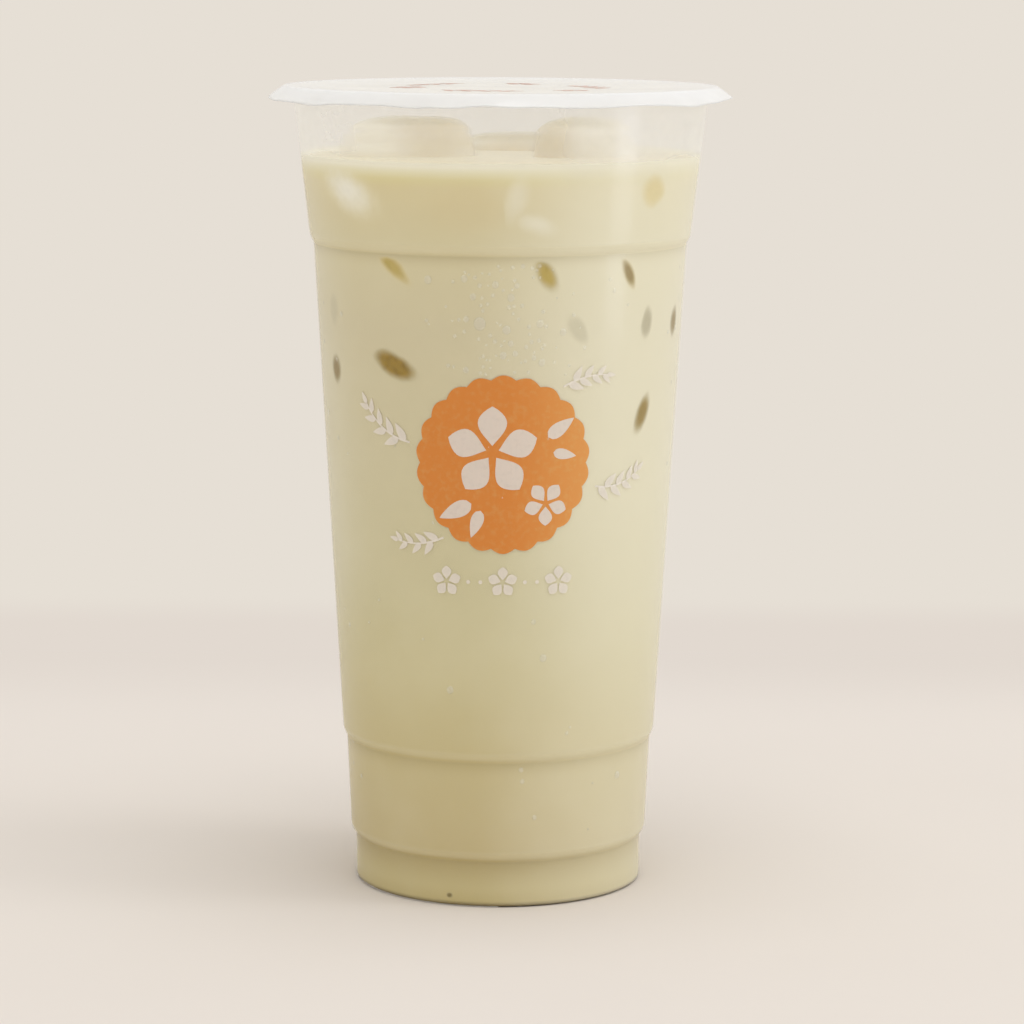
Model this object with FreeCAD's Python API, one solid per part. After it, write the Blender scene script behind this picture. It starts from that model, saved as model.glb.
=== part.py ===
"""Iced jasmine milk tea in a stepped take-away cup with a heat-sealed film.

Frame: millimetres, +Z up, origin at the centre of the foot's base, on the bench.
The thin cup stands on its foot, and three ledges, each with a rounded shoulder, step it
outwards on the way up to a flanged rim. The film is welded to the rim's flat top, and its
spare edge droops all round as a skirt. Milk tea fills the cup up to LEVEL, cut round the
ice cubes that float in it and stand out of it.
"""

import FreeCAD, Part
import os

# Cup, outside
FOOT_RADIUS = 30.3
FOOT_ROUND = 0.6
RIM_RADIUS = 45.0
RIM_TOP = 167.7
# Each straight wall above the foot: its lower end, radius there, upper end, radius there
SLEEVE = (9.7, 31.34, 30.9, 32.31)
BODY = (30.9, 33.0, 135.5, 39.05)
COLLAR = (135.5, 39.67, 166.6, 43.25)
SHOULDER_HEIGHT = 2.0

# Cup, thicknesses
WALL = 0.6
FLOOR = 0.8
FLOOR_RECESS = 0.5
FLOOR_CORNER = 1.2
FOOT_RING_WIDTH = 2.2
FOOT_RING_BEVEL = 0.5
LIP_WIDTH = 0.6
LIP_DROP = 1.4
RIM_ROUND = 0.4

# Sealing film
FILM = 0.3
SKIRT_RADIUS = 48.75
SKIRT_DROP = 2.9

# Contents
LEVEL = 153.4
ICE_ROUND = 5.0
# Of each floating cube: its centre, its size, and its turns in degrees about Z, Y and X
ICE_CUBES = {
    "ice_left": ((-19.0, 5.5, 147.7), (27.0, 24.0, 25.0), (-4.0, 2.0, 3.0)),
    "ice_right": ((17.5, 4.5, 147.9), (22.0, 22.0, 24.5), (12.0, -3.0, 2.0)),
    "ice_back": ((3.0, 27.0, 146.6), (24.0, 17.0, 24.0), (6.0, 2.0, -4.0)),
}

AXIS = FreeCAD.Vector(0, 0, 1)
ORIGIN = FreeCAD.Vector(0, 0, 0)


class Outline:
    """A closed outline in the half-plane of radius and height, walked corner by corner."""

    def __init__(self, radius, height):
        self.first = FreeCAD.Vector(radius, 0, height)
        self.here = self.first
        self.edges = []

    def line_to(self, radius, height):
        there = FreeCAD.Vector(radius, 0, height)
        self.edges.append(Part.LineSegment(self.here, there).toShape())
        self.here = there

    def curve_to(self, radius, height, heading):
        """An arc to a point, where it has turned to run along heading (radius, height)."""
        there = FreeCAD.Vector(radius, 0, height)
        chord = self.here - there
        normal = FreeCAD.Vector(-heading[1], 0, heading[0]).normalize()
        centre = there + normal * (chord.dot(chord) / (2 * normal.dot(chord)))
        bulge = (self.here + there) * 0.5 - centre
        middle = centre + bulge.normalize() * (there - centre).Length
        self.edges.append(Part.Arc(self.here, middle, there).toShape())
        self.here = there

    def climb_wall(self, inset):
        """Up the stepped wall, inset from its outside, from the foot to under the flange.

        A ledge starts in a crisp inner corner, from which its shoulder swells outwards."""
        radius_below = FOOT_RADIUS
        for low, low_radius, high, high_radius in (SLEEVE, BODY, COLLAR):
            self.line_to(radius_below - inset, low + inset / 2)
            slope = (high_radius - low_radius) / (high - low)
            shoulder_radius = low_radius + slope * SHOULDER_HEIGHT
            self.curve_to(shoulder_radius - inset, low + SHOULDER_HEIGHT, (slope, 1))
            radius_below = high_radius
        self.line_to(radius_below - inset, high)

    def revolve(self):
        """The solid that the closed outline sweeps about the cup's axis."""
        self.line_to(self.first.x, self.first.z)
        face = Part.Face(Part.Wire(self.edges))
        return face.revolve(ORIGIN, AXIS, 360)


def cup_block():
    """The cup as if it were solid: foot, stepped wall, and flange with its lip."""
    outline = Outline(0, FLOOR_RECESS)
    outline.line_to(FOOT_RADIUS - FOOT_RING_WIDTH - FOOT_RING_BEVEL, FLOOR_RECESS)
    outline.line_to(FOOT_RADIUS - FOOT_RING_WIDTH, 0)
    outline.line_to(FOOT_RADIUS - FOOT_ROUND, 0)
    outline.curve_to(FOOT_RADIUS, FOOT_ROUND, (0, 1))
    outline.climb_wall(inset=0)
    flange_bottom = outline.here.z
    outline.line_to(RIM_RADIUS - LIP_WIDTH, flange_bottom)
    outline.line_to(RIM_RADIUS - LIP_WIDTH, flange_bottom - LIP_DROP)
    outline.line_to(RIM_RADIUS, flange_bottom - LIP_DROP)
    outline.line_to(RIM_RADIUS, RIM_TOP - RIM_ROUND)
    outline.curve_to(RIM_RADIUS - RIM_ROUND, RIM_TOP, (-1, 0))
    outline.line_to(0, RIM_TOP)
    return outline.revolve()


def cavity():
    """The space inside the cup, from its floor to the rim's top."""
    floor_top = FLOOR_RECESS + FLOOR
    inner_radius = FOOT_RADIUS - WALL
    outline = Outline(0, floor_top)
    outline.line_to(inner_radius - FLOOR_CORNER, floor_top)
    outline.curve_to(inner_radius, floor_top + FLOOR_CORNER, (0, 1))
    outline.climb_wall(inset=WALL)
    outline.curve_to(outline.here.x + RIM_ROUND, RIM_TOP, (1, 1))
    outline.line_to(0, RIM_TOP)
    return outline.revolve()


def seal_film():
    """The flat film over the rim and its drooping skirt, as one sheet."""
    film_top = RIM_TOP + FILM
    fall = FreeCAD.Vector(SKIRT_RADIUS - RIM_RADIUS, 0, -SKIRT_DROP).normalize()
    under = FreeCAD.Vector(fall.z, 0, -fall.x) * FILM
    crease = FreeCAD.Vector(RIM_RADIUS, 0, film_top) + under
    crease += fall * ((RIM_TOP - crease.z) / fall.z)
    edge_top = film_top - SKIRT_DROP
    outline = Outline(0, RIM_TOP)
    outline.line_to(crease.x, crease.z)
    outline.line_to(SKIRT_RADIUS + under.x, edge_top + under.z)
    outline.line_to(SKIRT_RADIUS, edge_top)
    outline.line_to(RIM_RADIUS, film_top)
    outline.line_to(0, film_top)
    return outline.revolve()


def ice_cube(centre, size, turns):
    """A cube with melted, rounded edges."""
    corner = FreeCAD.Vector(*size) * -0.5
    cube = Part.makeBox(*size, corner)
    cube = cube.makeFillet(ICE_ROUND, cube.Edges)
    cube.Placement = FreeCAD.Placement(FreeCAD.Vector(*centre), FreeCAD.Rotation(*turns))
    return cube


def milk_tea(hollow, cubes):
    """The drink up to its level, cut round the ice."""
    filled = Part.makeCylinder(RIM_RADIUS, LEVEL)
    return hollow.common(filled).cut(cubes)


def main():
    hollow = cavity()
    cubes = {name: ice_cube(*cube) for name, cube in ICE_CUBES.items()}
    nodes = {
        "cup": cup_block().cut(hollow),
        "seal_film": seal_film(),
        "milk_tea": milk_tea(hollow, list(cubes.values())),
    }
    nodes.update(cubes)
    os.makedirs("parts", exist_ok=True)
    for name, shape in nodes.items():
        solid = shape.Solids[0]
        solid.exportStep(f"parts/{name}.step")
        print(name, "valid" if solid.isValid() else "INVALID", len(shape.Solids), "solid,",
              round(solid.Volume / 1000, 2), "cm3")


main()
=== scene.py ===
"""Looks of an iced jasmine milk tea in its sealed cup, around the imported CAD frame.

Lengths are metres, in the row frame: +Z up, the foot on z = 0, the printed badge towards -Y.
A place on the cup's wall is given as (turn, height), with the turn from -Y towards +X. The
lists of what lies on the wall have it in degrees and millimetres.
"""
import math
import random

import bmesh
import bpy
from mathutils import Matrix, Vector, noise
from mathutils.bvhtree import BVHTree
from mathutils.geometry import tessellate_polygon

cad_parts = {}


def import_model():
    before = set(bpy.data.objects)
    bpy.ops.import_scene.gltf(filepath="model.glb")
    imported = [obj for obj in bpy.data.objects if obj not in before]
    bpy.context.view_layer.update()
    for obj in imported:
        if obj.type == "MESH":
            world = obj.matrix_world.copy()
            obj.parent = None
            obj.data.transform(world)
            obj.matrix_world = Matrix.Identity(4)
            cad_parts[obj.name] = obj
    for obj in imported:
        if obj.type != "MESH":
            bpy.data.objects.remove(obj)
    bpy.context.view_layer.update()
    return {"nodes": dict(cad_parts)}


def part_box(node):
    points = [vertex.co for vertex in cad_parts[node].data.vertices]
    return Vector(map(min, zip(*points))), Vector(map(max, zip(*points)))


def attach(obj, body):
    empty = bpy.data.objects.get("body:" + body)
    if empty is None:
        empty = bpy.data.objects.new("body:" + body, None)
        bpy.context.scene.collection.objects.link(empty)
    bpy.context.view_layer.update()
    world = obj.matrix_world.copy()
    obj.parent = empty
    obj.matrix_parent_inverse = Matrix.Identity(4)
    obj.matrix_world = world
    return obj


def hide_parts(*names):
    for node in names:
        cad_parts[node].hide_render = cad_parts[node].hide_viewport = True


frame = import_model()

MM = 0.001
ROOT = "root"

# Camera, as the cup is seen: its place, its downward pitch and its slight roll
CAMERA_PLACE = Vector((2.69, -789.8, 198.8)) * MM
CAMERA_PITCH = 8.683
CAMERA_ROLL = 0.248
CAMERA_LENS = 132.77

# Heights and radii that follow from the frame
RIM_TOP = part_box("cup")[1].z
FILM_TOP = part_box("seal_film")[1].z
SKIRT_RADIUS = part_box("seal_film")[1].x
SKIRT_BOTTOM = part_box("seal_film")[0].z
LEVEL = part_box("milk_tea")[1].z

# Colours as they are seen, in sRGB from 0 to 255
BACKDROP = (230, 223, 213)
FLOOR = (220, 211, 201)
FLOOR_CLOUD = (212, 201, 189)
FLOOR_SEAM = (226, 217, 208)


def linear(colour):
    """A colour of 0 to 255 sRGB values as linear values with alpha."""
    shares = [c / 255 for c in colour]
    lit = [s / 12.92 if s <= 0.04045 else ((s + 0.055) / 1.055) ** 2.4 for s in shares]
    return (*lit, 1.0)


# ---------------------------------------------------------------- the cup's wall


def outward(turn):
    """The level direction out of the wall at a turn, in radians."""
    return Vector((math.sin(turn), -math.cos(turn), 0))


def wall_table(step=0.1 * MM, directions=48):
    """(height, outer radius) of the cup's wall all the way up, measured on the CAD node."""
    well_outside = 200 * MM
    tree = BVHTree.FromObject(frame["nodes"]["cup"], bpy.context.evaluated_depsgraph_get())
    table = []
    for i in range(1, int(RIM_TOP / step)):
        height = i * step
        reach = 0.0
        for k in range(directions):
            out = outward(math.tau * k / directions)
            hit = tree.ray_cast(out * well_outside + Vector((0, 0, height)), -out)[0]
            if hit:
                reach = max(reach, math.hypot(hit.x, hit.y))
        table.append((height, reach))
    return table


WALL = wall_table()


def wall_radius(height):
    """The wall's outer radius at a height."""
    step = WALL[1][0] - WALL[0][0]
    at = min(max((height - WALL[0][0]) / step, 0), len(WALL) - 1.001)
    i = int(at)
    return WALL[i][1] + (WALL[i + 1][1] - WALL[i][1]) * (at - i)


def on_wall(turn, height, lift=0.0):
    """A point on the cup's outside, lifted off it."""
    return outward(turn) * (wall_radius(height) + lift) + Vector((0, 0, height))


def thinned(points, tolerance):
    """The fewest of these (height, radius) points that keep the line within a tolerance."""
    first, last = Vector(points[0]), Vector(points[-1])
    along = (last - first).normalized()
    gaps = [abs((Vector(p) - first).cross(along)) for p in points]
    worst = max(range(len(points)), key=gaps.__getitem__)
    if gaps[worst] <= tolerance:
        return [points[0], points[-1]]
    return thinned(points[: worst + 1], tolerance)[:-1] + thinned(points[worst:], tolerance)


# ---------------------------------------------------------------- building meshes


def linked(name, mesh, smooth):
    """A new object in the scene with this mesh, shaded smooth or flat."""
    piece = bpy.data.objects.new(name, mesh)
    bpy.context.scene.collection.objects.link(piece)
    if smooth:
        mesh.shade_smooth()
    return piece


def mesh_object(name, vertices, faces, smooth=True):
    mesh = bpy.data.meshes.new(name)
    mesh.from_pydata(vertices, [], faces)
    mesh.update()
    return linked(name, mesh, smooth)


def bmesh_object(name, bm, smooth=True):
    mesh = bpy.data.meshes.new(name)
    bm.to_mesh(mesh)
    bm.free()
    return linked(name, mesh, smooth)


def join_rings(bm, inner, outer):
    """Faces from one ring of vertices, or from a single middle vertex, to the next ring."""
    for k in range(len(outer)):
        after = (k + 1) % len(outer)
        if len(inner) == 1:
            bm.faces.new((inner[0], outer[k], outer[after]))
        else:
            bm.faces.new((inner[k], outer[k], outer[after], inner[after]))


def lathe(name, profile, segments=256):
    """Turns a profile of (radius, height) points about Z. Its ends lie on the axis."""
    rings = profile[1:-1]
    vertices = [Vector((0, 0, profile[0][1]))]
    for radius, height in rings:
        for k in range(segments):
            vertices.append(outward(math.tau * k / segments) * radius + Vector((0, 0, height)))
    vertices.append(Vector((0, 0, profile[-1][1])))
    last = len(vertices) - 1
    faces = []
    for k in range(segments):
        after = (k + 1) % segments
        faces.append((0, 1 + after, 1 + k))
        for ring in range(len(rings) - 1):
            low, high = 1 + ring * segments, 1 + (ring + 1) * segments
            faces.append((low + k, low + after, high + after, high + k))
        top = 1 + (len(rings) - 1) * segments
        faces.append((top + k, top + after, last))
    return mesh_object(name, vertices, faces)


def finish_piece(piece, slot, material, *replaced):
    """Gives a piece its material, its body and the CAD nodes that it stands for. The slot is not
    used.
    """
    piece.data.materials.clear()
    piece.data.materials.append(material)
    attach(piece, ROOT)
    if replaced:
        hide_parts(*replaced)
    return piece


# ---------------------------------------------------------------- materials


class Nodes:
    """The node tree of a new material or world, with short ways to add and join nodes."""

    def __init__(self, name, world=False):
        blocks = bpy.data.worlds if world else bpy.data.materials
        self.owner = blocks.new(name)
        self.owner.use_nodes = True
        self.tree = self.owner.node_tree
        self.tree.nodes.clear()
        self.output = self.add("OutputWorld" if world else "OutputMaterial")

    def add(self, kind, inputs=None, **settings):
        node = self.tree.nodes.new("ShaderNode" + kind)
        for key, value in settings.items():
            setattr(node, key, value)
        for key, value in (inputs or {}).items():
            if isinstance(value, bpy.types.NodeSocket):
                self.tree.links.new(value, node.inputs[key])
            else:
                node.inputs[key].default_value = value
        return node

    def place(self):
        """The point being shaded, in the row frame."""
        return self.add("TexCoord").outputs["Object"]

    def math(self, operation, *values):
        return self.add("Math", dict(enumerate(values)), operation=operation).outputs[0]

    def product(self, value, *others):
        for other in others:
            value = self.math("MULTIPLY", value, other)
        return value

    def scaled(self, value, scale, base):
        """Value times scale, plus base."""
        return self.math("MULTIPLY_ADD", value, scale, base)

    def between(self, value, low, high, smooth=True):
        """0 where value is at low and 1 where it is at high."""
        kind = "SMOOTHSTEP" if smooth else "LINEAR"
        inputs = {"Value": value, "From Min": low, "From Max": high}
        return self.add("MapRange", inputs, interpolation_type=kind).outputs["Result"]

    def mix(self, share, a, b):
        """Colour a where share is 0, colour b where it is 1."""
        factor, first, second, result = 0, 6, 7, 2
        inputs = {factor: share, first: a, second: b}
        return self.add("Mix", inputs, data_type="RGBA").outputs[result]

    def noise(self, scale, detail=2.0, vector=None):
        inputs = {"Vector": vector or self.place(), "Scale": scale, "Detail": detail}
        return self.add("TexNoise", inputs).outputs["Fac"]

    def bump(self, height, distance, strength=1.0):
        inputs = {"Height": height, "Distance": distance, "Strength": strength}
        return self.add("Bump", inputs).outputs["Normal"]

    def slant(self):
        """0 where the surface is seen head-on and 1 where it is seen edge-on."""
        return self.add("LayerWeight", {"Blend": 0.5}).outputs["Facing"]

    def outside(self):
        """1 on a piece's outer side and 0 on its inner side."""
        return self.math("SUBTRACT", 1.0, self.add("NewGeometry").outputs["Backfacing"])

    def clear(self):
        """A shader that lets all light through."""
        return self.add("BsdfTransparent", {"Color": (1, 1, 1, 1)}).outputs[0]

    def gloss(self, roughness, normal):
        inputs = {"Color": (1, 1, 1, 1), "Roughness": roughness, "Normal": normal}
        return self.add("BsdfGlossy", inputs).outputs[0]

    def blend(self, share, a, b):
        """Shader a where share is 0, shader b where it is 1."""
        return self.add("MixShader", {0: share, 1: a, 2: b}).outputs[0]

    def shade(self, shader):
        self.tree.links.new(shader, self.output.inputs["Surface"])
        return self.owner


def separated(nodes):
    """X, Y and height of the point being shaded."""
    place = nodes.add("SeparateXYZ", {"Vector": nodes.place()})
    return place.outputs["X"], place.outputs["Y"], place.outputs["Z"]


def from_axis(nodes):
    """How far the point being shaded is from the cup's axis."""
    x, y, _ = separated(nodes)
    return nodes.math("SQRT", nodes.math("ADD", nodes.product(x, x), nodes.product(y, y)))


def seen_directly(nodes):
    """1 where a thing is seen, also mirrored or through plastic, and 0 where it gives light."""
    path = nodes.add("LightPath").outputs
    seen = nodes.math("MAXIMUM", path["Is Camera Ray"], path["Is Glossy Ray"])
    return nodes.math("MAXIMUM", seen, path["Is Transmission Ray"])


# Milk tea at a few heights: darker towards the foot, partly as painted shade, and creamy at the
# top where the ice melts. Its lowest millimetre is painted contact shade at the floor
TEA_AND_SHADE_BY_HEIGHT = [
    (0.0004, (112, 95, 48)),
    (0.0007, (153, 136, 84)),
    (0.0012, (194, 178, 122)),
    (0.0040, (204, 190, 137)),
    (0.0130, (200, 184, 134)),
    (0.0330, (205, 191, 140)),
    (0.0500, (209, 198, 150)),
    (0.0650, (212, 203, 160)),
    (0.0900, (215, 205, 166)),
    (0.1200, (216, 205, 168)),
    (0.1380, (222, 211, 169)),
    (0.1440, (223, 210, 165)),
    (0.1490, (227, 213, 165)),
    (0.1506, (230, 218, 162)),
    (0.1522, (243, 236, 200)),
    (0.1532, (252, 247, 224)),
]
TEA_SURFACE = (238, 228, 196)
# Cream: the drink's own colour in its clouds and round pale ice faces, and its painted light
CREAM_AND_LIGHT = (244, 240, 216)
# The turn of the side where light is painted into the drink, towards the key lamp
LIT_SIDE_TURN = math.radians(80)
# How much cream colour is mixed in: painted light on the lit side and towards the left edge,
# the drink's own soft clouds, and a painted highlight on the shoulder above each ledge
LIT_SIDE_LIGHT = 0.66
LEFT_EDGE_LIGHT = 0.14
CLOUDS = 0.12
SHOULDER_HIGHLIGHT = 0.16
# How far towards the lit side, from the axis, the painted light is at its fullest
LIT_SIDE_REACH = 31 * MM
# The colour of the painted shade under each ledge
UNDER_LEDGE_SHADE = (158, 137, 76)
# Under each ledge from the lowest up: how far down its shade reaches, in mm, and how strong
LEDGE_SHADE = [(9.0, 0.56), (3.8, 0.38), (3.2, 0.38)]
# How much of that strength is lost on the side with painted light
LEDGE_FADE = 0.42


def ledges():
    """Heights at which the wall begins to step outwards on the way up."""
    found = []
    for (_, before), (height, here), (_, after) in zip(WALL, WALL[1:], WALL[2:]):
        if here - before < 0.02 * MM and after - here > 0.06 * MM and height < LEVEL:
            found.append(height)
    return found


# The drink's colour by height, its painted shade included
def tea_and_shade_by_height(nodes, height):
    top = TEA_AND_SHADE_BY_HEIGHT[-1][0]
    ramp = nodes.add("ValToRGB", {"Fac": nodes.between(height, 0.0, top, smooth=False)})
    points = ramp.color_ramp.elements
    while len(points) < len(TEA_AND_SHADE_BY_HEIGHT):
        points.new(0.5)
    for point, (at, colour) in zip(points, TEA_AND_SHADE_BY_HEIGHT):
        point.position = at / top
        point.color = linear(colour)
    return ramp.outputs["Color"]


def shaded_ledges(nodes, colour, height, side):
    """The colour with a painted shade under each ledge, weaker on the lit side, and a painted
    highlight on its shoulder.
    """
    strength = nodes.scaled(nodes.between(side, 0.0, LIT_SIDE_REACH), -LEDGE_FADE, 1.0)
    for ledge, (depth, share) in zip(ledges(), LEDGE_SHADE):
        below = nodes.between(height, ledge - depth * MM, ledge, smooth=False)
        shade = nodes.product(nodes.math("POWER", below, 2.0),
                              nodes.between(height, ledge + 0.3 * MM, ledge - 0.35 * MM))
        shade = nodes.product(shade, nodes.product(strength, share))
        colour = nodes.mix(shade, colour, linear(UNDER_LEDGE_SHADE))
        # Painted highlight on the shoulder just above the ledge
        swell = nodes.product(nodes.between(height, ledge + 0.2 * MM, ledge + 0.9 * MM),
                              nodes.between(height, ledge + 2.6 * MM, ledge + 1.2 * MM))
        colour = nodes.mix(nodes.product(swell, SHOULDER_HIGHLIGHT), colour, linear(CREAM_AND_LIGHT))
    return colour


def tea_colour(nodes):
    """The drink's colour at a point: by height, with painted light on one side and at the left,
    softly clouded, and with painted shade and highlights at the ledges.
    """
    x, y, height = separated(nodes)
    lit_direction = outward(LIT_SIDE_TURN)
    side = nodes.math("ADD", nodes.product(x, lit_direction.x), nodes.product(y, lit_direction.y))
    # Painted light: the drink is paler towards the lit side, less so towards the foot
    rising = nodes.scaled(nodes.between(height, 15 * MM, 100 * MM), 0.4, 0.6)
    milk = nodes.product(nodes.between(side, -2 * MM, LIT_SIDE_REACH), rising, LIT_SIDE_LIGHT)
    colour = nodes.mix(milk, tea_and_shade_by_height(nodes, height), linear(CREAM_AND_LIGHT))
    cloud = nodes.between(nodes.noise(38.0, 3.0), 0.4, 0.8)
    colour = nodes.mix(nodes.product(cloud, CLOUDS), colour, linear(CREAM_AND_LIGHT))
    colour = shaded_ledges(nodes, colour, height, side)
    out = from_axis(nodes)
    # Painted light: the drink is paler towards the left edge
    pale = nodes.product(nodes.between(nodes.math("DIVIDE", x, out), -0.72, -0.95),
                         nodes.between(height, 30 * MM, 80 * MM), LEFT_EDGE_LIGHT)
    colour = nodes.mix(pale, colour, linear(CREAM_AND_LIGHT))
    edge = wall_radius(LEVEL)
    surface = nodes.product(nodes.between(out, edge - 1 * MM, edge - 2.5 * MM),
                            nodes.between(height, LEVEL - 0.9 * MM, LEVEL - 0.2 * MM))
    return nodes.mix(surface, colour, linear(TEA_SURFACE))


def tea_shader(nodes, colour):
    return nodes.add("BsdfPrincipled", {
        "Base Color": colour,
        "Roughness": 0.4,
        "IOR": 1.34,
        "Specular IOR Level": 0.2,
        "Normal": nodes.bump(nodes.noise(120.0, 2.0), 0.1 * MM, 0.25),
    }).outputs[0]


def tea_material():
    nodes = Nodes("milk_tea")
    return nodes.shade(tea_shader(nodes, tea_colour(nodes)))


def sunk_ice_material():
    """Ice pressed against the wall: its mottled colour comes up softly through the tea."""
    nodes = Nodes("sunk_ice")
    seen, halo = (nodes.add("Attribute", attribute_name=key).outputs["Color"]
                  for key in FACE_COLOURS)
    bare, share, mottle = (nodes.add("Attribute", attribute_name=key).outputs["Fac"]
                           for key in FACE_NUMBERS)
    ragged = nodes.scaled(nodes.noise(420.0, 2.0), 0.24, -0.12)
    bare = nodes.math("ADD", bare, nodes.product(ragged, nodes.between(bare, 0.0, 0.3)))
    spots = nodes.product(nodes.between(nodes.noise(700.0, 3.0), 0.45, 0.65), mottle)
    deep = nodes.add("HueSaturation", {"Value": 0.66, "Saturation": 1.15, "Color": seen})
    core = nodes.mix(spots, seen, deep.outputs["Color"])
    rim = nodes.product(nodes.between(bare, 0.0, 0.6), nodes.product(share, 0.6))
    colour = nodes.mix(rim, tea_colour(nodes), halo)
    middle = nodes.product(nodes.between(bare, 0.1, 0.8), share)
    colour = nodes.mix(middle, colour, core)
    return nodes.shade(tea_shader(nodes, colour))


# Milkiness that is added to the cup: the least and the patches of its mist above the drink,
# a painted highlight in a strip at the drink's level and one at the rim, both on the right,
# and what it loses below the level where the plastic faces down
MIST = 0.128
MIST_PATCHES = 0.056
LIT_BAND_HAZE = 0.14
LIT_RIM_HAZE = 0.12
UNDERSIDE_LOSS = 0.4
SKIRT_HAZE = 0.22


def breath(nodes):
    """Extra milkiness of the cup: misted above the drink, with a painted highlight on the right,
    clearer on undersides below it.
    """
    x, _, height = separated(nodes)
    above = nodes.between(height, LEVEL - 0.5 * MM, LEVEL + 2.5 * MM)
    patches = nodes.between(nodes.noise(90.0, 3.0), 0.3, 0.7)
    misted = nodes.product(above, nodes.scaled(patches, MIST_PATCHES, MIST))
    # Painted highlight: whiter haze on the right, at the drink's level and at the rim
    band = nodes.product(nodes.between(x, 11 * MM, 17 * MM),
                         nodes.between(x, 39 * MM, 31 * MM),
                         nodes.between(height, LEVEL - 5 * MM, LEVEL - 1 * MM))
    misted = nodes.scaled(band, LIT_BAND_HAZE, misted)
    rim = nodes.product(nodes.between(height, LEVEL + 7 * MM, LEVEL + 10 * MM),
                        nodes.between(x, 20 * MM, 30 * MM))
    misted = nodes.scaled(rim, LIT_RIM_HAZE, misted)
    normal = nodes.add("SeparateXYZ", {"Vector": nodes.add("NewGeometry").outputs["Normal"]})
    under = nodes.between(normal.outputs["Z"], -0.12, -0.5)
    under = nodes.product(under, nodes.math("SUBTRACT", 1.0, above))
    return nodes.scaled(under, -UNDERSIDE_LOSS, misted)


def skirt_haze(nodes):
    """Extra milkiness of the film's drooping edge."""
    return nodes.product(nodes.between(from_axis(nodes), 43.5 * MM, 45.5 * MM), SKIRT_HAZE)


def see_through(name, milk, haze, slant_haze, glow, roughness, slant_gloss, ripples, extra):
    """Thin translucent plastic: mostly clear, a little milk-white, and glossy.

    Haze is its milkiness head-on, to which slant_haze adds edge-on, and extra gives the
    further haze at a point. Glow is how much of the milkiness is light from behind.
    Slant_gloss is the extra gloss edge-on. Ripples are their scale and depth.
    """
    nodes = Nodes(name)
    bump_scale, bump_depth = ripples
    ripple = nodes.bump(nodes.noise(bump_scale, 2.0), bump_depth)
    lit = nodes.add("BsdfDiffuse", {"Color": linear(milk)}).outputs[0]
    behind = nodes.add("BsdfTranslucent", {"Color": linear(milk)}).outputs[0]
    body = nodes.blend(glow, lit, behind)
    slant = nodes.slant()
    share = nodes.scaled(nodes.math("POWER", slant, 3.0), slant_haze, haze)
    mottle = nodes.between(nodes.noise(bump_scale * 0.4, 3.0), 0.2, 0.9, smooth=False)
    share = nodes.product(share, nodes.scaled(mottle, 0.3, 0.85))
    share = nodes.math("ADD", share, extra(nodes))
    hazed = nodes.blend(share, nodes.clear(), body)
    mirror = nodes.scaled(nodes.math("POWER", slant, 5.0), slant_gloss, 0.034)
    return nodes.shade(nodes.blend(mirror, hazed, nodes.gloss(roughness, ripple)))


ICE_DARK = (240, 231, 205)
ICE_LIGHT = (248, 242, 224)
ICE_STAIN = (208, 186, 134)
# The painted shade across the flat top of the ice
ICE_TOP_SHADE = (182, 168, 112)


def ice_material(high, stain):
    """Melting ice, hazy at its outline; tea has stained it at one place, and its flat top has a
    painted shade where the rim's neck darkens it.
    """
    nodes = Nodes("floating_ice")
    flat = nodes.add("Mapping", {"Vector": nodes.place(), "Scale": (0.3, 0.3, 1.8)})
    streaky = nodes.noise(240.0, 3.0, flat.outputs["Vector"])
    colour = nodes.mix(nodes.between(streaky, 0.4, 0.7), linear(ICE_DARK), linear(ICE_LIGHT))
    away = nodes.add("VectorMath", {0: nodes.place(), 1: stain}, operation="DISTANCE")
    away = away.outputs["Value"]
    near = nodes.between(away, 13 * MM, 3 * MM)
    colour = nodes.mix(nodes.product(near, 0.9), colour, linear(ICE_STAIN))
    height = separated(nodes)[2]
    # Painted shade across the flat top, where the rim's neck darkens it
    top = nodes.product(nodes.between(height, high.z - 2.8 * MM, high.z - 1.6 * MM),
                        nodes.between(away, 20 * MM, 10 * MM))
    colour = nodes.mix(nodes.product(top, 0.6), colour, linear(ICE_TOP_SHADE))
    body = nodes.add("BsdfPrincipled", {
        "Base Color": colour,
        "Roughness": 0.2,
        "IOR": 1.31,
        "Transmission Weight": 0.1,
        "Normal": nodes.bump(nodes.noise(160.0, 3.0), 0.2 * MM, 0.4),
    }).outputs[0]
    fade = nodes.product(nodes.between(nodes.slant(), 0.2, 0.9),
                         nodes.between(height, high.z - 2.5 * MM, high.z - 4 * MM))
    solid = nodes.product(nodes.scaled(fade, -0.82, 0.85), nodes.outside())
    return nodes.shade(nodes.blend(solid, nodes.clear(), body))


def ink_material(name, colour, worn_and_lit, cover):
    """Ink on plastic: uneven, paler where rubbed and, as painted light, on the right, not quite
    opaque.
    """
    nodes = Nodes(name)
    patchy = nodes.product(nodes.between(nodes.noise(900.0, 3.0), 0.45, 0.8), 0.35)
    # Painted light: the ink is paler towards the right
    side = nodes.between(separated(nodes)[0], 0.0, 22 * MM)
    wear_and_light = nodes.math("ADD", patchy, nodes.product(side, 0.5))
    ink = nodes.add("BsdfPrincipled", {
        "Base Color": nodes.mix(wear_and_light, linear(colour), linear(worn_and_lit)),
        "Roughness": 0.38,
        "IOR": 1.45,
        "Normal": nodes.bump(nodes.noise(1500.0, 2.0), 0.02 * MM, 0.4),
    }).outputs[0]
    share = nodes.product(nodes.scaled(patchy, -0.2, cover), nodes.outside())
    return nodes.shade(nodes.blend(share, nodes.clear(), ink))


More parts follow.
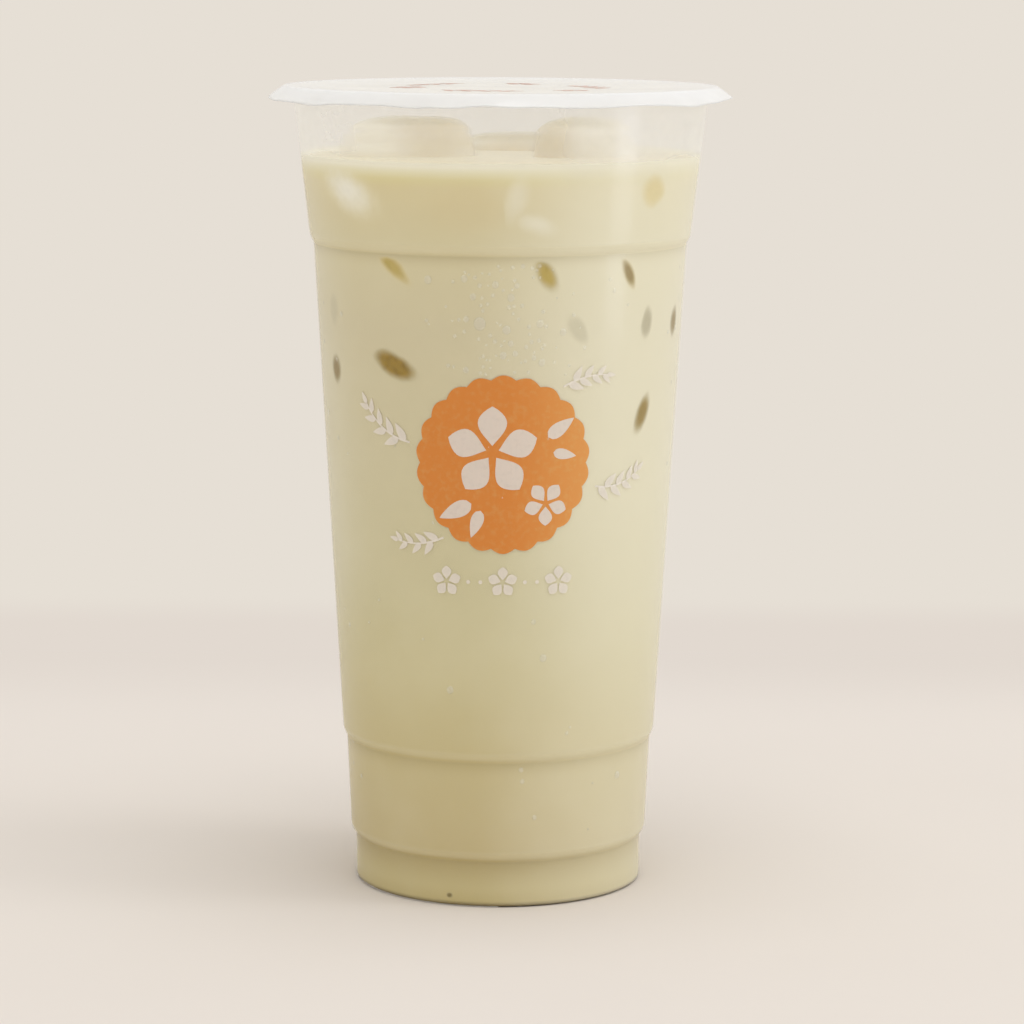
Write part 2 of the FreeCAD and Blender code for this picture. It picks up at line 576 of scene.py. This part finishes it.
def water_material():
    """Small clear beads of water that catch the light round their edges."""
    nodes = Nodes("water")
    ripple = nodes.bump(nodes.noise(900.0, 2.0), 0.02 * MM)
    lit = nodes.add("BsdfDiffuse", {"Color": linear((255, 255, 250))}).outputs[0]
    slant = nodes.slant()
    outside = nodes.outside()
    share = nodes.scaled(nodes.math("POWER", slant, 2.0), 0.1, 0.16)
    body = nodes.blend(nodes.product(share, outside), nodes.clear(), lit)
    mirror = nodes.scaled(nodes.math("POWER", slant, 4.0), 0.15, 0.03)
    mirror = nodes.product(mirror, outside)
    return nodes.shade(nodes.blend(mirror, body, nodes.gloss(0.12, ripple)))


# ---------------------------------------------------------------- the drink


DRINK_INSET = 0.15 * MM
# How high the drink climbs the wall, and over what distance
BRIM_CLIMB = 0.7 * MM
BRIM_REACH = 2.2 * MM
SURFACE = LEVEL - 0.1 * MM


def drink_radius(height):
    """The drink's radius: it reaches into the wall, to just under its outside everywhere."""
    near = (wall_radius(height + i * 0.1 * MM) for i in range(-2, 3))
    return min(near) - DRINK_INSET


def drink_profile():
    """From the middle of the cup's floor, up inside the wall, over the surface to its middle."""
    floor_height = 0.9 * MM
    ring_height = 0.12 * MM
    ring_starts, ring_flat, ring_ends = 2.4 * MM, 1.7 * MM, 0.6 * MM
    foot = drink_radius(1.0 * MM)
    profile = [(0, floor_height), (foot - ring_starts, floor_height),
               (foot - ring_flat, ring_height), (foot - ring_ends, ring_height)]
    wall = [(z, drink_radius(z)) for z, _ in WALL if 0.3 * MM <= z <= LEVEL]
    kept = set(thinned(wall, 0.008 * MM))
    profile += [(r, z) for i, (z, r) in enumerate(wall) if (z, r) in kept or i % 8 == 0]
    edge = profile[-1][0]
    brim = SURFACE + BRIM_CLIMB
    profile += [(edge, brim - 0.1 * MM), (edge, brim - 0.05 * MM)]
    edge -= 0.05 * MM
    for i in range(9):
        share = i / 8
        profile.append((edge - BRIM_REACH * share, SURFACE + BRIM_CLIMB * (1 - share) ** 2.5))
    rings = 40
    for i in range(1, rings):
        profile.append(((edge - BRIM_REACH) * (1 - i / rings), SURFACE))
    return profile + [(0, SURFACE)]


def milk_tea():
    """The drink as one solid, its surface faintly uneven."""
    piece = lathe("milk_tea_poured", drink_profile())
    for vertex in piece.data.vertices:
        inside = wall_radius(LEVEL) - math.hypot(vertex.co.x, vertex.co.y)
        if vertex.co.z > LEVEL - 0.2 * MM and inside > 2 * MM:
            vertex.co.z += noise.noise(vertex.co * 60) * 0.08 * MM
    return finish_piece(piece, "milk_tea", tea_material(), "milk_tea")


# ---------------------------------------------------------------- ice


# Of each floating cube, in mm: where tea has stained it, how far its top has melted down from
# its CAD place (below 0 it stands higher), and how far its sides have spread
MELTING = {
    "ice_left": ((-14.0, 0.0, 157.0), -1.2, 2.0),
    "ice_right": ((9.0, -4.0, 154.0), -1.2, 0.0),
    "ice_back": ((2.0, 18.0, 150.0), 1.5, 3.0),
}
# The higher, the squarer the cubes
CUBE_POWER = 3.2
# In shares of a cube's half-size: what is left of it, its dents, its fine dents, and how
# hollow its top is
REMAINS = 0.96
DENTS = 0.04
FINE_DENTS = 0.012
HOLLOW = 0.02


def floating_ice(name, seed):
    """A melted cube in the place of its CAD solid: rounded, dented, a little hollow on top."""
    stain, sunk, spread = MELTING[name]
    low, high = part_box(name)
    high.z -= sunk * MM
    low.x -= spread * MM
    high.x += spread * MM
    centre, half = (low + high) / 2, (high - low) / 2
    bm = bmesh.new()
    bmesh.ops.create_cube(bm, size=2)
    bmesh.ops.subdivide_edges(bm, edges=bm.edges[:], cuts=30, use_grid_fill=True)
    start = Vector((seed * 7.3, 0, 0))
    for vertex in bm.verts:
        p = vertex.co / sum(abs(c) ** CUBE_POWER for c in vertex.co) ** (1 / CUBE_POWER)
        dent = DENTS * noise.noise(p * 1.4 + start) + FINE_DENTS * noise.noise(p * 4.5 + start)
        p *= REMAINS + dent
        hollow = max(0.0, 1 - (p.x * p.x + p.y * p.y) / 0.8) if p.z > 0 else 0.0
        p.z -= HOLLOW * hollow
        vertex.co = centre + Vector((p.x * half.x, p.y * half.y, p.z * half.z))
    look = ice_material(high, Vector(stain) * MM)
    return finish_piece(bmesh_object(name + "_melted", bm), "ice", look, name)


GOLDEN = (158, 126, 22)
OLIVE = (192, 168, 84)
BROWN = (152, 130, 74)
UMBER = (160, 136, 70)
GREY = (190, 182, 152)
PALE = (255, 253, 242)
TAN = (230, 214, 158)
HAZEL = (222, 203, 152)
SHADE = (190, 180, 142)
MOTE = (124, 106, 44)
WHEY = (236, 226, 182)
# How clearly the middles of some colours stand out, how mottled some are, and the others
CRISPNESS = {GOLDEN: 1.35, PALE: 0.82, OLIVE: 1.02}
PLAIN_CRISPNESS = 1.12
MOTTLE = {GOLDEN: 0.6, OLIVE: 0.4}
PLAIN_MOTTLE = 0.12
# Where cubes under the surface press against the wall, in front and then behind, with a speck
# at the foot between: turn and height of the middle, lean in degrees, half-length and
# half-width in mm, how much of it shows, its colour and the colour round it
SUNK_ICE = [
    (-33.9, 112.6, -68, 7.0, 3.2, 1.0, GOLDEN, SHADE),
    (-33.9, 133.0, -50, 6.6, 2.3, 0.9, OLIVE, TAN),
    (14.1, 131.9, -30, 4.8, 2.5, 1.0, OLIVE, SHADE),
    (42.4, 131.6, -28, 4.4, 1.7, 0.9, BROWN, TAN),
    (-63.8, 110.5, 0, 4.1, 2.8, 1.0, BROWN, SHADE),
    (52.2, 102.3, 26, 5.6, 2.5, 1.0, UMBER, SHADE),
    (51.9, 120.8, 6, 4.4, 2.2, 0.8, GREY, GREY),
    (70.5, 120.2, 6, 3.8, 2.4, 0.9, BROWN, GREY),
    (24.5, 120.6, -35, 4.4, 2.4, 0.3, GREY, GREY),
    (-63.0, 122.5, 4, 4.4, 2.8, 0.26, GREY, GREY),
    (-48.6, 147.8, -68, 12.6, 6.4, 0.74, PALE, WHEY),
    (49.5, 148.0, 8, 4.0, 4.4, 0.65, TAN, TAN),
    (4.6, 147.2, 12, 6.8, 3.6, 0.26, PALE, CREAM_AND_LIGHT),
    (10.8, 142.0, -74, 6.4, 2.8, 0.3, PALE, CREAM_AND_LIGHT),
    # This broad, faint patch only turns the collar a little darker tan
    (-10.0, 146.0, -82, 11.5, 7.0, 0.14, HAZEL, HAZEL),
    (-19.3, 2.2, 0, 0.8, 1.0, 0.9, MOTE, SHADE),
    (152.0, 128.0, 40, 5.2, 2.9, 0.9, OLIVE, SHADE),
    (196.0, 112.0, -35, 5.6, 3.2, 0.95, GOLDEN, SHADE),
    (228.0, 127.0, 12, 4.4, 2.6, 0.7, GREY, GREY),
    (118.0, 108.0, -15, 4.6, 2.6, 0.85, BROWN, SHADE),
    (262.0, 131.0, 35, 4.8, 2.4, 0.85, OLIVE, TAN),
    (98.0, 130.0, 25, 4.2, 2.4, 0.8, OLIVE, TAN),
    (176.0, 146.5, -50, 6.0, 3.8, 0.6, PALE, PALE),
]
# What each vertex of a sunk face carries for its material
FACE_NUMBERS = ("bare", "share", "mottle")
FACE_COLOURS = ("seen", "halo")
# How far its middle rises, how far it reaches, in its half-sizes, and how uneven it is
FACE_RISE = 0.03 * MM
FACE_REACH = 1.2
FACE_WOBBLE = 0.2
FACE_RINGS = 16
FACE_SPOKES = 48


def sunk_face(bm, bare, crisp, seed, turn, height, lean, long, wide):
    """One uneven, leaning oval on the wall, closed behind, below the next ledge or surface.

    The layer bare falls from crisp in its middle to 0 before its rim. Returns its vertices.
    """
    turn = math.radians(turn)
    height *= MM
    lean = math.radians(lean)
    ceiling = min([z for z in ledges() if z > height] + [LEVEL]) - 0.5 * MM
    made = []
    last = []
    for ring in range(FACE_RINGS + 1):
        reach = FACE_REACH * ring / FACE_RINGS
        row = []
        for spoke in range(FACE_SPOKES if ring else 1):
            a = math.tau * spoke / FACE_SPOKES
            u, v = reach * math.cos(a), reach * math.sin(a)
            wobble = 1 + FACE_WOBBLE * noise.noise(Vector((u, v, seed * 3.1)) * 0.9)
            along = u * long * MM * wobble
            across = v * wide * MM * wobble * (1 - 0.25 * (u / FACE_REACH) ** 2)
            up = along * math.cos(lean) - across * math.sin(lean)
            side = along * math.sin(lean) + across * math.cos(lean)
            at = height + up
            if at > ceiling:
                at = ceiling + (at - ceiling) * 0.02
            lift = FACE_RISE * (1 - reach * reach) + drink_radius(at) - wall_radius(at)
            vertex = bm.verts.new(on_wall(turn + side / wall_radius(at), at, lift))
            under = min(1.0, max(0.0, (ceiling - at) / (1.0 * MM)))
            vertex[bare] = max(0.0, 1 - reach) * crisp * under ** 0.6
            row.append(vertex)
        if ring:
            join_rings(bm, last, row)
        made += row
        last = row
    middle = sum((vertex.co for vertex in last), Vector()) / len(last)
    back = bm.verts.new(middle - outward(turn) * min(long, wide) * MM)
    for spoke in range(FACE_SPOKES):
        bm.faces.new((last[(spoke + 1) % FACE_SPOKES], last[spoke], back))
    return made + [back]


def sunk_ice():
    """Faces of the sunk cubes, risen through the drink by a hair's breadth under the wall."""
    bm = bmesh.new()
    layers = {key: bm.verts.layers.float.new(key) for key in FACE_NUMBERS}
    layers.update({key: bm.verts.layers.float_color.new(key) for key in FACE_COLOURS})
    for seed, (*oval, share, seen, halo) in enumerate(SUNK_ICE):
        crisp = CRISPNESS.get(seen, PLAIN_CRISPNESS)
        for vertex in sunk_face(bm, layers["bare"], crisp, seed, *oval):
            vertex[layers["share"]] = share
            vertex[layers["mottle"]] = MOTTLE.get(seen, PLAIN_MOTTLE)
            vertex[layers["seen"]] = linear(seen)
            vertex[layers["halo"]] = linear(halo)
    bmesh.ops.recalc_face_normals(bm, faces=bm.faces[:])
    return finish_piece(bmesh_object("ice_sunk", bm), "ice", sunk_ice_material())


# ---------------------------------------------------------------- print


def heading(angle):
    """The direction at an angle in the plane of a print."""
    return Vector((math.cos(angle), math.sin(angle)))


def petal(centre, angle, length, width, tip=0.35):
    """Outline of a petal or leaf that grows from centre at an angle, with a pointed tip."""
    steps = 12
    points = []
    for side in (1, -1):
        for i in range(steps):
            share = i / steps if side == 1 else 1 - i / steps
            swell = math.sin(math.pi * share ** (1 - tip)) ** 0.85 if 0 < share < 1 else 0.0
            points.append((share * length, side * swell * width / 2))
    turned = Matrix.Rotation(angle, 2)
    return [Vector(centre) + turned @ Vector(p) for p in points]


def scalloped_disc(centre, radius, lobes, depth, steps=12):
    """Outline of a disc whose edge swells out in this many lobes."""
    points = []
    for i in range(lobes * steps):
        a = math.tau * i / (lobes * steps)
        reach = radius - depth * (1 - abs(math.sin(lobes * a / 2)))
        points.append(Vector(centre) + heading(a) * reach)
    return points


def dot(centre, radius, steps=20):
    return [Vector(centre) + heading(math.tau * i / steps) * radius for i in range(steps)]


def blossom(centre, radius, turn=0.0, petals=5, width=0.62):
    """Slim petals round an open middle."""
    shapes = []
    for i in range(petals):
        a = turn + math.tau * i / petals
        root = Vector(centre) + heading(a) * radius * 0.14
        shapes.append(petal(root, a, radius * 0.86, radius * width, tip=-0.25))
    return shapes


def sprig(start, angle, length, bend, leaves, leaf):
    """A thin bending stem with leaves on both sides, smaller towards its end."""
    line = [Vector(start)]
    steps = 24
    for i in range(steps):
        line.append(line[-1] + heading(angle + bend * i / steps) * length / steps)
    left, right = [], []
    for i, p in enumerate(line):
        a = angle + bend * i / steps
        across = Vector((-math.sin(a), math.cos(a))) * (0.22 - 0.1 * i / steps)
        left.append(p + across)
        right.append(p - across)
    shapes = [left + right[::-1]]
    for k in range(leaves):
        share = (k + 1) / (leaves + 0.4)
        i = min(int(share * steps), steps)
        a = angle + bend * share
        side = 1 if k % 2 else -1
        size = leaf * (1 - 0.35 * share)
        shapes.append(petal(line[i], a + side * 0.75, size, size * 0.42))
    shapes.append(petal(line[-1], angle + bend, leaf * 0.6, leaf * 0.26))
    return shapes


def printed(name, shapes, to_place, cell, thickness):
    """Thin ink in these outlines, cut into strips so that it follows a curved surface."""
    bm = bmesh.new()
    for shape in shapes:
        corners = [bm.verts.new((p.x, p.y, 0)) for p in shape]
        for a, b, c in tessellate_polygon([[v.co for v in corners]]):
            if len({a, b, c}) == 3:
                try:
                    bm.faces.new((corners[a], corners[b], corners[c]))
                except ValueError:
                    pass
    low = min(v.co.x for v in bm.verts)
    high = max(v.co.x for v in bm.verts)
    for i in range(1, int((high - low) / cell) + 1):
        parts = bm.verts[:] + bm.edges[:] + bm.faces[:]
        bmesh.ops.bisect_plane(bm, geom=parts, plane_co=(low + i * cell, 0, 0),
                               plane_no=(1, 0, 0), dist=1e-5)
    bmesh.ops.recalc_face_normals(bm, faces=bm.faces[:])
    for face in bm.faces:
        if face.normal.z < 0:
            face.normal_flip()
    raised = bmesh.ops.extrude_face_region(bm, geom=bm.faces[:])
    for part in raised["geom"]:
        if isinstance(part, bmesh.types.BMVert):
            part.co.z = thickness
    for vertex in bm.verts:
        vertex.co = to_place(vertex.co)
    bmesh.ops.recalc_face_normals(bm, faces=bm.faces[:])
    return bmesh_object(name, bm, smooth=False)


BADGE_TURN = math.radians(1.4)
BADGE_HEIGHT = 93.3
BADGE_RADIUS = 18.3
# Petals beside the blossoms: where each starts, its angle in degrees and its length in mm
LOOSE_PETALS = [
    ((-6.5, -8.0), 205, 7.5),
    ((-4.6, -9.4), 250, 6.0),
    ((9.0, 5.6), 35, 6.6),
    ((10.2, 2.4), 350, 5.0),
]
# Sprigs round the badge: start, angle and bend in degrees, length, leaves and their length
BADGE_SPRIGS = [
    ((-19.6, 4.0), 172, -52, 13.5, 8, 4.4),
    ((19.8, -5.0), -12, 48, 12.5, 8, 4.2),
    ((-12.5, -15.2), 205, -38, 11.0, 7, 3.8),
    ((12.0, 15.8), 28, -34, 10.0, 7, 3.8),
]
# Height of the row of small blossoms, from the badge's middle
ROW_UP = -24.2
# Of printed ink, in mm: its gap over the wall, its gap where it lies on other ink, its
# thickness and the width of the strips that bend with the wall
ON_WALL = 0.02
ON_INK = 0.06
INK_THICKNESS = 0.03
INK_STRIP = 1.0


def on_badge(lift):
    """Maps a print's (across, up, depth) in mm about the badge's middle onto the wall."""
    middle_radius = wall_radius(BADGE_HEIGHT * MM)

    def to_place(point):
        turn = BADGE_TURN + point.x * MM / middle_radius
        return on_wall(turn, (BADGE_HEIGHT + point.y) * MM, (lift + point.z) * MM)

    return to_place


def wall_print(name, shapes, lift, slot, ink):
    """One piece of the print on the wall, from shapes in mm about the badge's middle."""
    piece = printed(name, shapes, on_badge(lift), INK_STRIP, INK_THICKNESS)
    return finish_piece(piece, slot, ink)


def badge():
    """A scalloped orange badge with white blossoms, sprigs round it and a row below it."""
    orange = ink_material("ink_orange", colour=(222, 135, 52), worn_and_lit=(240, 180, 104), cover=0.95)
    white = ink_material("ink_white", colour=(242, 232, 218), worn_and_lit=(246, 240, 228), cover=0.78)
    disc = scalloped_disc((0, 0), BADGE_RADIUS, lobes=22, depth=0.9)
    wall_print("badge_disc", [disc], ON_WALL, "print_orange", orange)

    flower = blossom((-2.2, 2.6), 9.4, math.radians(90))
    flower += blossom((8.8, -8.0), 4.6, math.radians(54))
    for start, angle, size in LOOSE_PETALS:
        flower.append(petal(start, math.radians(angle), size, size * 0.44))
    wall_print("badge_blossom", flower, ON_INK, "print_white", white)

    sprigs = []
    for start, angle, bend, length, leaves, leaf in BADGE_SPRIGS:
        sprigs += sprig(start, math.radians(angle), length, math.radians(bend), leaves, leaf)
    wall_print("badge_sprigs", sprigs, ON_WALL, "print_white", white)

    row = []
    for across in (-12.0, 0.0, 12.0):
        row += blossom((across, ROW_UP), 3.2, math.radians(90), width=0.66)
    for across in (-6.0, 6.0):
        row += [dot((across - 1.3, ROW_UP), 0.42), dot((across + 1.3, ROW_UP), 0.42)]
    wall_print("badge_row", row, ON_WALL, "print_white", white)


# ---------------------------------------------------------------- sealing film


CREASE_RADIUS = 45.0 * MM
MOUTH_RADIUS = 42.8 * MM
FILM_THICKNESS = 0.12 * MM
FLAT_TOP = FILM_TOP - 0.04 * MM
# How far the film sags over the mouth, and how uneven that is
FILM_SAG = 0.45 * MM
FILM_WAVES = 0.35 * MM
FLAT_RINGS = 44
SKIRT_RINGS = 8


def film_height(x, y):
    """Height of the film's upper side over the cup's mouth: nearly flat, faintly uneven."""
    r = math.hypot(x, y)
    over_mouth = 1 - min(r / MOUTH_RADIUS, 1.0) ** 6
    sag = FILM_SAG + FILM_WAVES * noise.noise(Vector((x, y, 0)) * 38)
    return FLAT_TOP - sag * over_mouth


def skirt_edge(turn):
    """(radius, height) of the skirt's free edge: it flutters a little."""
    around = Vector((math.sin(turn), math.cos(turn), 0))
    flutter = noise.noise(around * 2.3 + Vector((3.1, 0, 0)))
    crimp = noise.noise(around * 7.0 + Vector((0, 5.2, 0)))
    radius = SKIRT_RADIUS - (0.3 + 0.35 * flutter + 0.2 * crimp) * MM
    height = SKIRT_BOTTOM + (0.55 + 0.65 * flutter - 0.35 * crimp) * MM
    return min(radius, SKIRT_RADIUS - 0.05 * MM), max(height, SKIRT_BOTTOM + 0.1 * MM)


def film_point(ring, turn):
    """A point on the film's upper side, on its flat part or on the skirt round it."""
    if ring <= FLAT_RINGS:
        p = outward(turn) * (CREASE_RADIUS * ring / FLAT_RINGS)
        p.z = film_height(p.x, p.y)
        return p
    share = (ring - FLAT_RINGS) / SKIRT_RINGS
    edge_radius, edge_height = skirt_edge(turn)
    p = outward(turn) * (CREASE_RADIUS + (edge_radius - CREASE_RADIUS) * share)
    p.z = FLAT_TOP + (edge_height - FLAT_TOP) * share ** 1.12
    return p


def thicken(piece, thickness):
    """Gives a sheet a thickness, downwards from its upper side."""
    if piece.data.polygons[0].normal.z < 0:
        piece.data.flip_normals()
    thick = piece.modifiers.new("thickness", "SOLIDIFY")
    thick.thickness = thickness
    thick.offset = -1
    bpy.context.view_layer.update()
    evaluated = piece.evaluated_get(bpy.context.evaluated_depsgraph_get())
    solid = bpy.data.meshes.new_from_object(evaluated)
    piece.modifiers.clear()
    piece.data = solid
    piece.data.shade_smooth()


def seal_film():
    """The flat film, creased over the rim, with its spare edge drooping as a skirt."""
    spokes = 288
    bm = bmesh.new()
    last = [bm.verts.new((0, 0, film_height(0, 0)))]
    for ring in range(1, FLAT_RINGS + SKIRT_RINGS + 1):
        row = [bm.verts.new(film_point(ring, math.tau * k / spokes)) for k in range(spokes)]
        join_rings(bm, last, row)
        last = row
    bmesh.ops.recalc_face_normals(bm, faces=bm.faces[:])
    piece = bmesh_object("seal_film_sheet", bm)
    thicken(piece, FILM_THICKNESS)
    film = see_through("seal_film", milk=(250, 251, 252), haze=0.26, slant_haze=0.62,
                       glow=0.45, roughness=0.16, slant_gloss=0.6, ripples=(120.0, 0.05 * MM),
                       extra=skirt_haze)
    return finish_piece(piece, "seal_film", film, "seal_film")


def film_print():
    """Thin red-brown sprigs and small blossoms in a loose wreath on the film."""
    shapes = []
    wreath = 20.0
    parts = 6
    lead = 0.42
    for k in range(parts):
        a = math.tau * k / parts + 0.3
        if k % 2:
            at = heading(a) * wreath
            shapes += blossom(at, 4.0, a)
            shapes.append(dot(at, 0.5))
        else:
            start = heading(a - lead) * wreath
            shapes += sprig(start, a - lead + math.pi / 2, length=15.0, bend=0.8, leaves=8,
                            leaf=4.4)

    def to_place(point):
        x, y = point.x * MM, point.y * MM
        return Vector((x, y, film_height(x, y) + (0.015 + point.z) * MM))

    piece = printed("film_print", shapes, to_place, cell=2.0, thickness=0.02)
    ink = ink_material("ink_red", colour=(196, 150, 138), worn_and_lit=(214, 186, 176), cover=0.75)
    return finish_piece(piece, "print_red", ink)


# ---------------------------------------------------------------- droplets


# The larger beads above and below the badge: turn in degrees, height and radius in mm
LARGE_BEADS = [
    (-21.7, 130.6, 0.8), (-10.5, 131.0, 0.7), (-7.9, 127.4, 0.65), (-1.2, 129.9, 0.7),
    (0.6, 129.4, 0.6), (5.2, 129.7, 0.55), (3.4, 127.3, 0.75), (-10.0, 122.9, 0.6),
    (-5.9, 122.0, 1.25), (-4.0, 122.9, 1.1), (-5.0, 121.0, 0.8), (2.2, 120.8, 0.85),
    (3.0, 119.6, 0.9), (3.5, 118.0, 0.6), (12.3, 122.0, 0.75), (19.6, 120.2, 0.7),
    (21.2, 119.4, 0.75), (1.2, 115.6, 0.7), (4.8, 116.0, 0.55), (-10.2, 112.6, 0.6),
    (10.6, 115.1, 0.5), (13.1, 114.1, 0.7), (15.5, 53.1, 0.75), (-16.8, 46.3, 0.75),
    (50.6, 26.0, 0.75), (8.5, 29.5, 0.5),
]
CLUSTER_BEADS = 110
STRAY_BEADS = 60
BACK_BEADS = 70
# In shares of its radius: how thick a bead is, how tall, and how far it stays from others
BEAD_THICK = 0.32
BEAD_TALL = 1.12
BEAD_GAP = 1.15
BEAD_RINGS = 4
BEAD_SPOKES = 12


def bead_places():
    """The large beads, then fine ones above the badge, strays all round, and some behind."""
    random.seed(11)
    beads = list(LARGE_BEADS)
    for _ in range(CLUSTER_BEADS):
        turn = random.gauss(2.0, 10.0)
        height = random.uniform(111.5, 134.0)
        beads.append((turn, height, random.uniform(0.2, 0.45)))
    for _ in range(STRAY_BEADS):
        turn = random.uniform(-180, 180)
        height = random.uniform(14, 134)
        beads.append((turn, height, random.choice((0.25, 0.3, 0.4, 0.5))))
    for _ in range(BACK_BEADS):
        turn = random.uniform(60, 300)
        height = random.triangular(90, 134, 125)
        beads.append((turn, height, random.uniform(0.2, 0.6)))
    return beads


def bead(bm, turn, height, size):
    """A flat bead on the wall, a little taller than wide. Its turn is in radians here."""
    last = []
    for ring in range(BEAD_RINGS + 1):
        tilt = math.pi / 2 * ring / BEAD_RINGS
        row = []
        for spoke in range(BEAD_SPOKES if ring else 1):
            a = math.tau * spoke / BEAD_SPOKES
            across = size * math.sin(tilt) * math.cos(a)
            up = size * math.sin(tilt) * math.sin(a) * BEAD_TALL
            at = (height + up) * MM
            lift = (size * BEAD_THICK * math.cos(tilt) - 0.01) * MM
            row.append(bm.verts.new(on_wall(turn + across * MM / wall_radius(at), at, lift)))
        if ring:
            join_rings(bm, last, row)
        last = row
    bm.faces.new(last)


def droplets():
    """Condensation on the wall, where no two beads touch."""
    bm = bmesh.new()
    placed = []
    for turn, height, size in bead_places():
        turn = math.radians(turn)
        middle = on_wall(turn, height * MM)
        touching = any((middle - other).length < BEAD_GAP * (size + width) * MM
                       for other, width in placed)
        if not touching:
            placed.append((middle, size))
            bead(bm, turn, height, size)
    bmesh.ops.recalc_face_normals(bm, faces=bm.faces[:])
    return finish_piece(bmesh_object("droplets", bm), "water", water_material())


# ---------------------------------------------------------------- stage, lamps, camera


SKY_STRENGTH = 0.82


def floor():
    """A pale floor under the cup that gives way, some way off, to the backdrop's own colour."""
    side = 20.0
    corners = [(-side, -side, 0), (side, -side, 0), (side, side, 0), (-side, side, 0)]
    piece = mesh_object("floor", corners, [(0, 1, 2, 3)], smooth=False)
    nodes = Nodes("floor")
    x, y, _ = separated(nodes)
    away = nodes.math("MAXIMUM", nodes.math("ABSOLUTE", x), nodes.math("ABSOLUTE", y))
    cloud = nodes.product(nodes.between(nodes.noise(9.0, 4.0), 0.4, 0.8), 0.12)
    near = nodes.mix(cloud, linear(FLOOR), linear(FLOOR_CLOUD))
    lit = nodes.add("BsdfDiffuse", {"Color": near}).outputs[0]
    seam = nodes.mix(nodes.between(away, 0.29, 0.345), linear(FLOOR_SEAM), linear(BACKDROP))
    shown = nodes.add("Emission", {"Color": seam}).outputs[0]
    far = nodes.add("BsdfDiffuse", {"Color": seam}).outputs[0]
    backdrop = nodes.blend(seen_directly(nodes), far, shown)
    floor_look = nodes.shade(nodes.blend(nodes.between(away, 0.15, 0.25), lit, backdrop))
    piece.data.materials.append(floor_look)


def world():
    """An even pale sky that lights at a plain level and shows as the backdrop."""
    nodes = Nodes("sky", world=True)
    light = nodes.add("Background", {"Color": (1, 1, 1, 1), "Strength": SKY_STRENGTH})
    shown = nodes.add("Background", {"Color": linear(BACKDROP)})
    look = nodes.blend(seen_directly(nodes), light.outputs[0], shown.outputs[0])
    bpy.context.scene.world = nodes.shade(look)


def lamp(name, turn, distance, height, size, watts, colour):
    """A soft area lamp at a turn in degrees, aimed at the cup's middle, unseen by the camera."""
    data = bpy.data.lights.new(name, "AREA")
    data.shape = "RECTANGLE"
    data.size, data.size_y = size
    data.energy = watts
    data.color = colour
    piece = bpy.data.objects.new(name, data)
    bpy.context.scene.collection.objects.link(piece)
    piece.location = outward(math.radians(turn)) * distance + Vector((0, 0, height))
    aim = Vector((0, 0, RIM_TOP / 2)) - piece.location
    piece.rotation_mode = "QUATERNION"
    piece.rotation_quaternion = aim.to_track_quat("-Z", "Y")
    piece.visible_camera = False
    return piece


def camera():
    """The camera, with its lens for a sensor 36 mm wide."""
    data = bpy.data.cameras.new("camera")
    data.lens = CAMERA_LENS
    data.sensor_width = 36
    data.clip_start = 0.01
    piece = bpy.data.objects.new("camera", data)
    bpy.context.scene.collection.objects.link(piece)
    piece.matrix_world = (Matrix.Translation(CAMERA_PLACE)
                          @ Matrix.Rotation(math.radians(90 - CAMERA_PITCH), 4, "X")
                          @ Matrix.Rotation(math.radians(CAMERA_ROLL), 4, "Z"))
    bpy.context.scene.camera = piece


def dress_cup():
    """The CAD cup keeps its shape and gets its plastic."""
    plastic = see_through("cup_plastic", milk=(255, 255, 255), haze=0.07, slant_haze=0.35,
                          glow=0.6, roughness=0.17, slant_gloss=0.25, ripples=(60.0, 0.08 * MM),
                          extra=breath)
    cup = frame["nodes"]["cup"]
    cup.data.materials.clear()
    cup.data.materials.append(plastic)


def main():
    bpy.context.scene.view_settings.view_transform = "Standard"
    dress_cup()
    milk_tea()
    for seed, name in enumerate(("ice_left", "ice_right", "ice_back")):
        floating_ice(name, seed)
    sunk_ice()
    badge()
    seal_film()
    film_print()
    droplets()
    floor()
    world()
    lamp("key", turn=80, distance=2.6, height=1.9, size=(0.9, 2.2), watts=15.0,
         colour=(0.97, 1.0, 1.05))
    lamp("overhead", turn=20, distance=0.35, height=2.2, size=(1.4, 1.4), watts=15.0,
         colour=(0.96, 1.0, 1.07))
    strip = lamp("strip", turn=71.5, distance=0.275, height=0.092, size=(0.07, 0.038),
                 watts=0.0145, colour=(0.93, 1.0, 1.22))
    strip.visible_diffuse = False
    camera()


main()
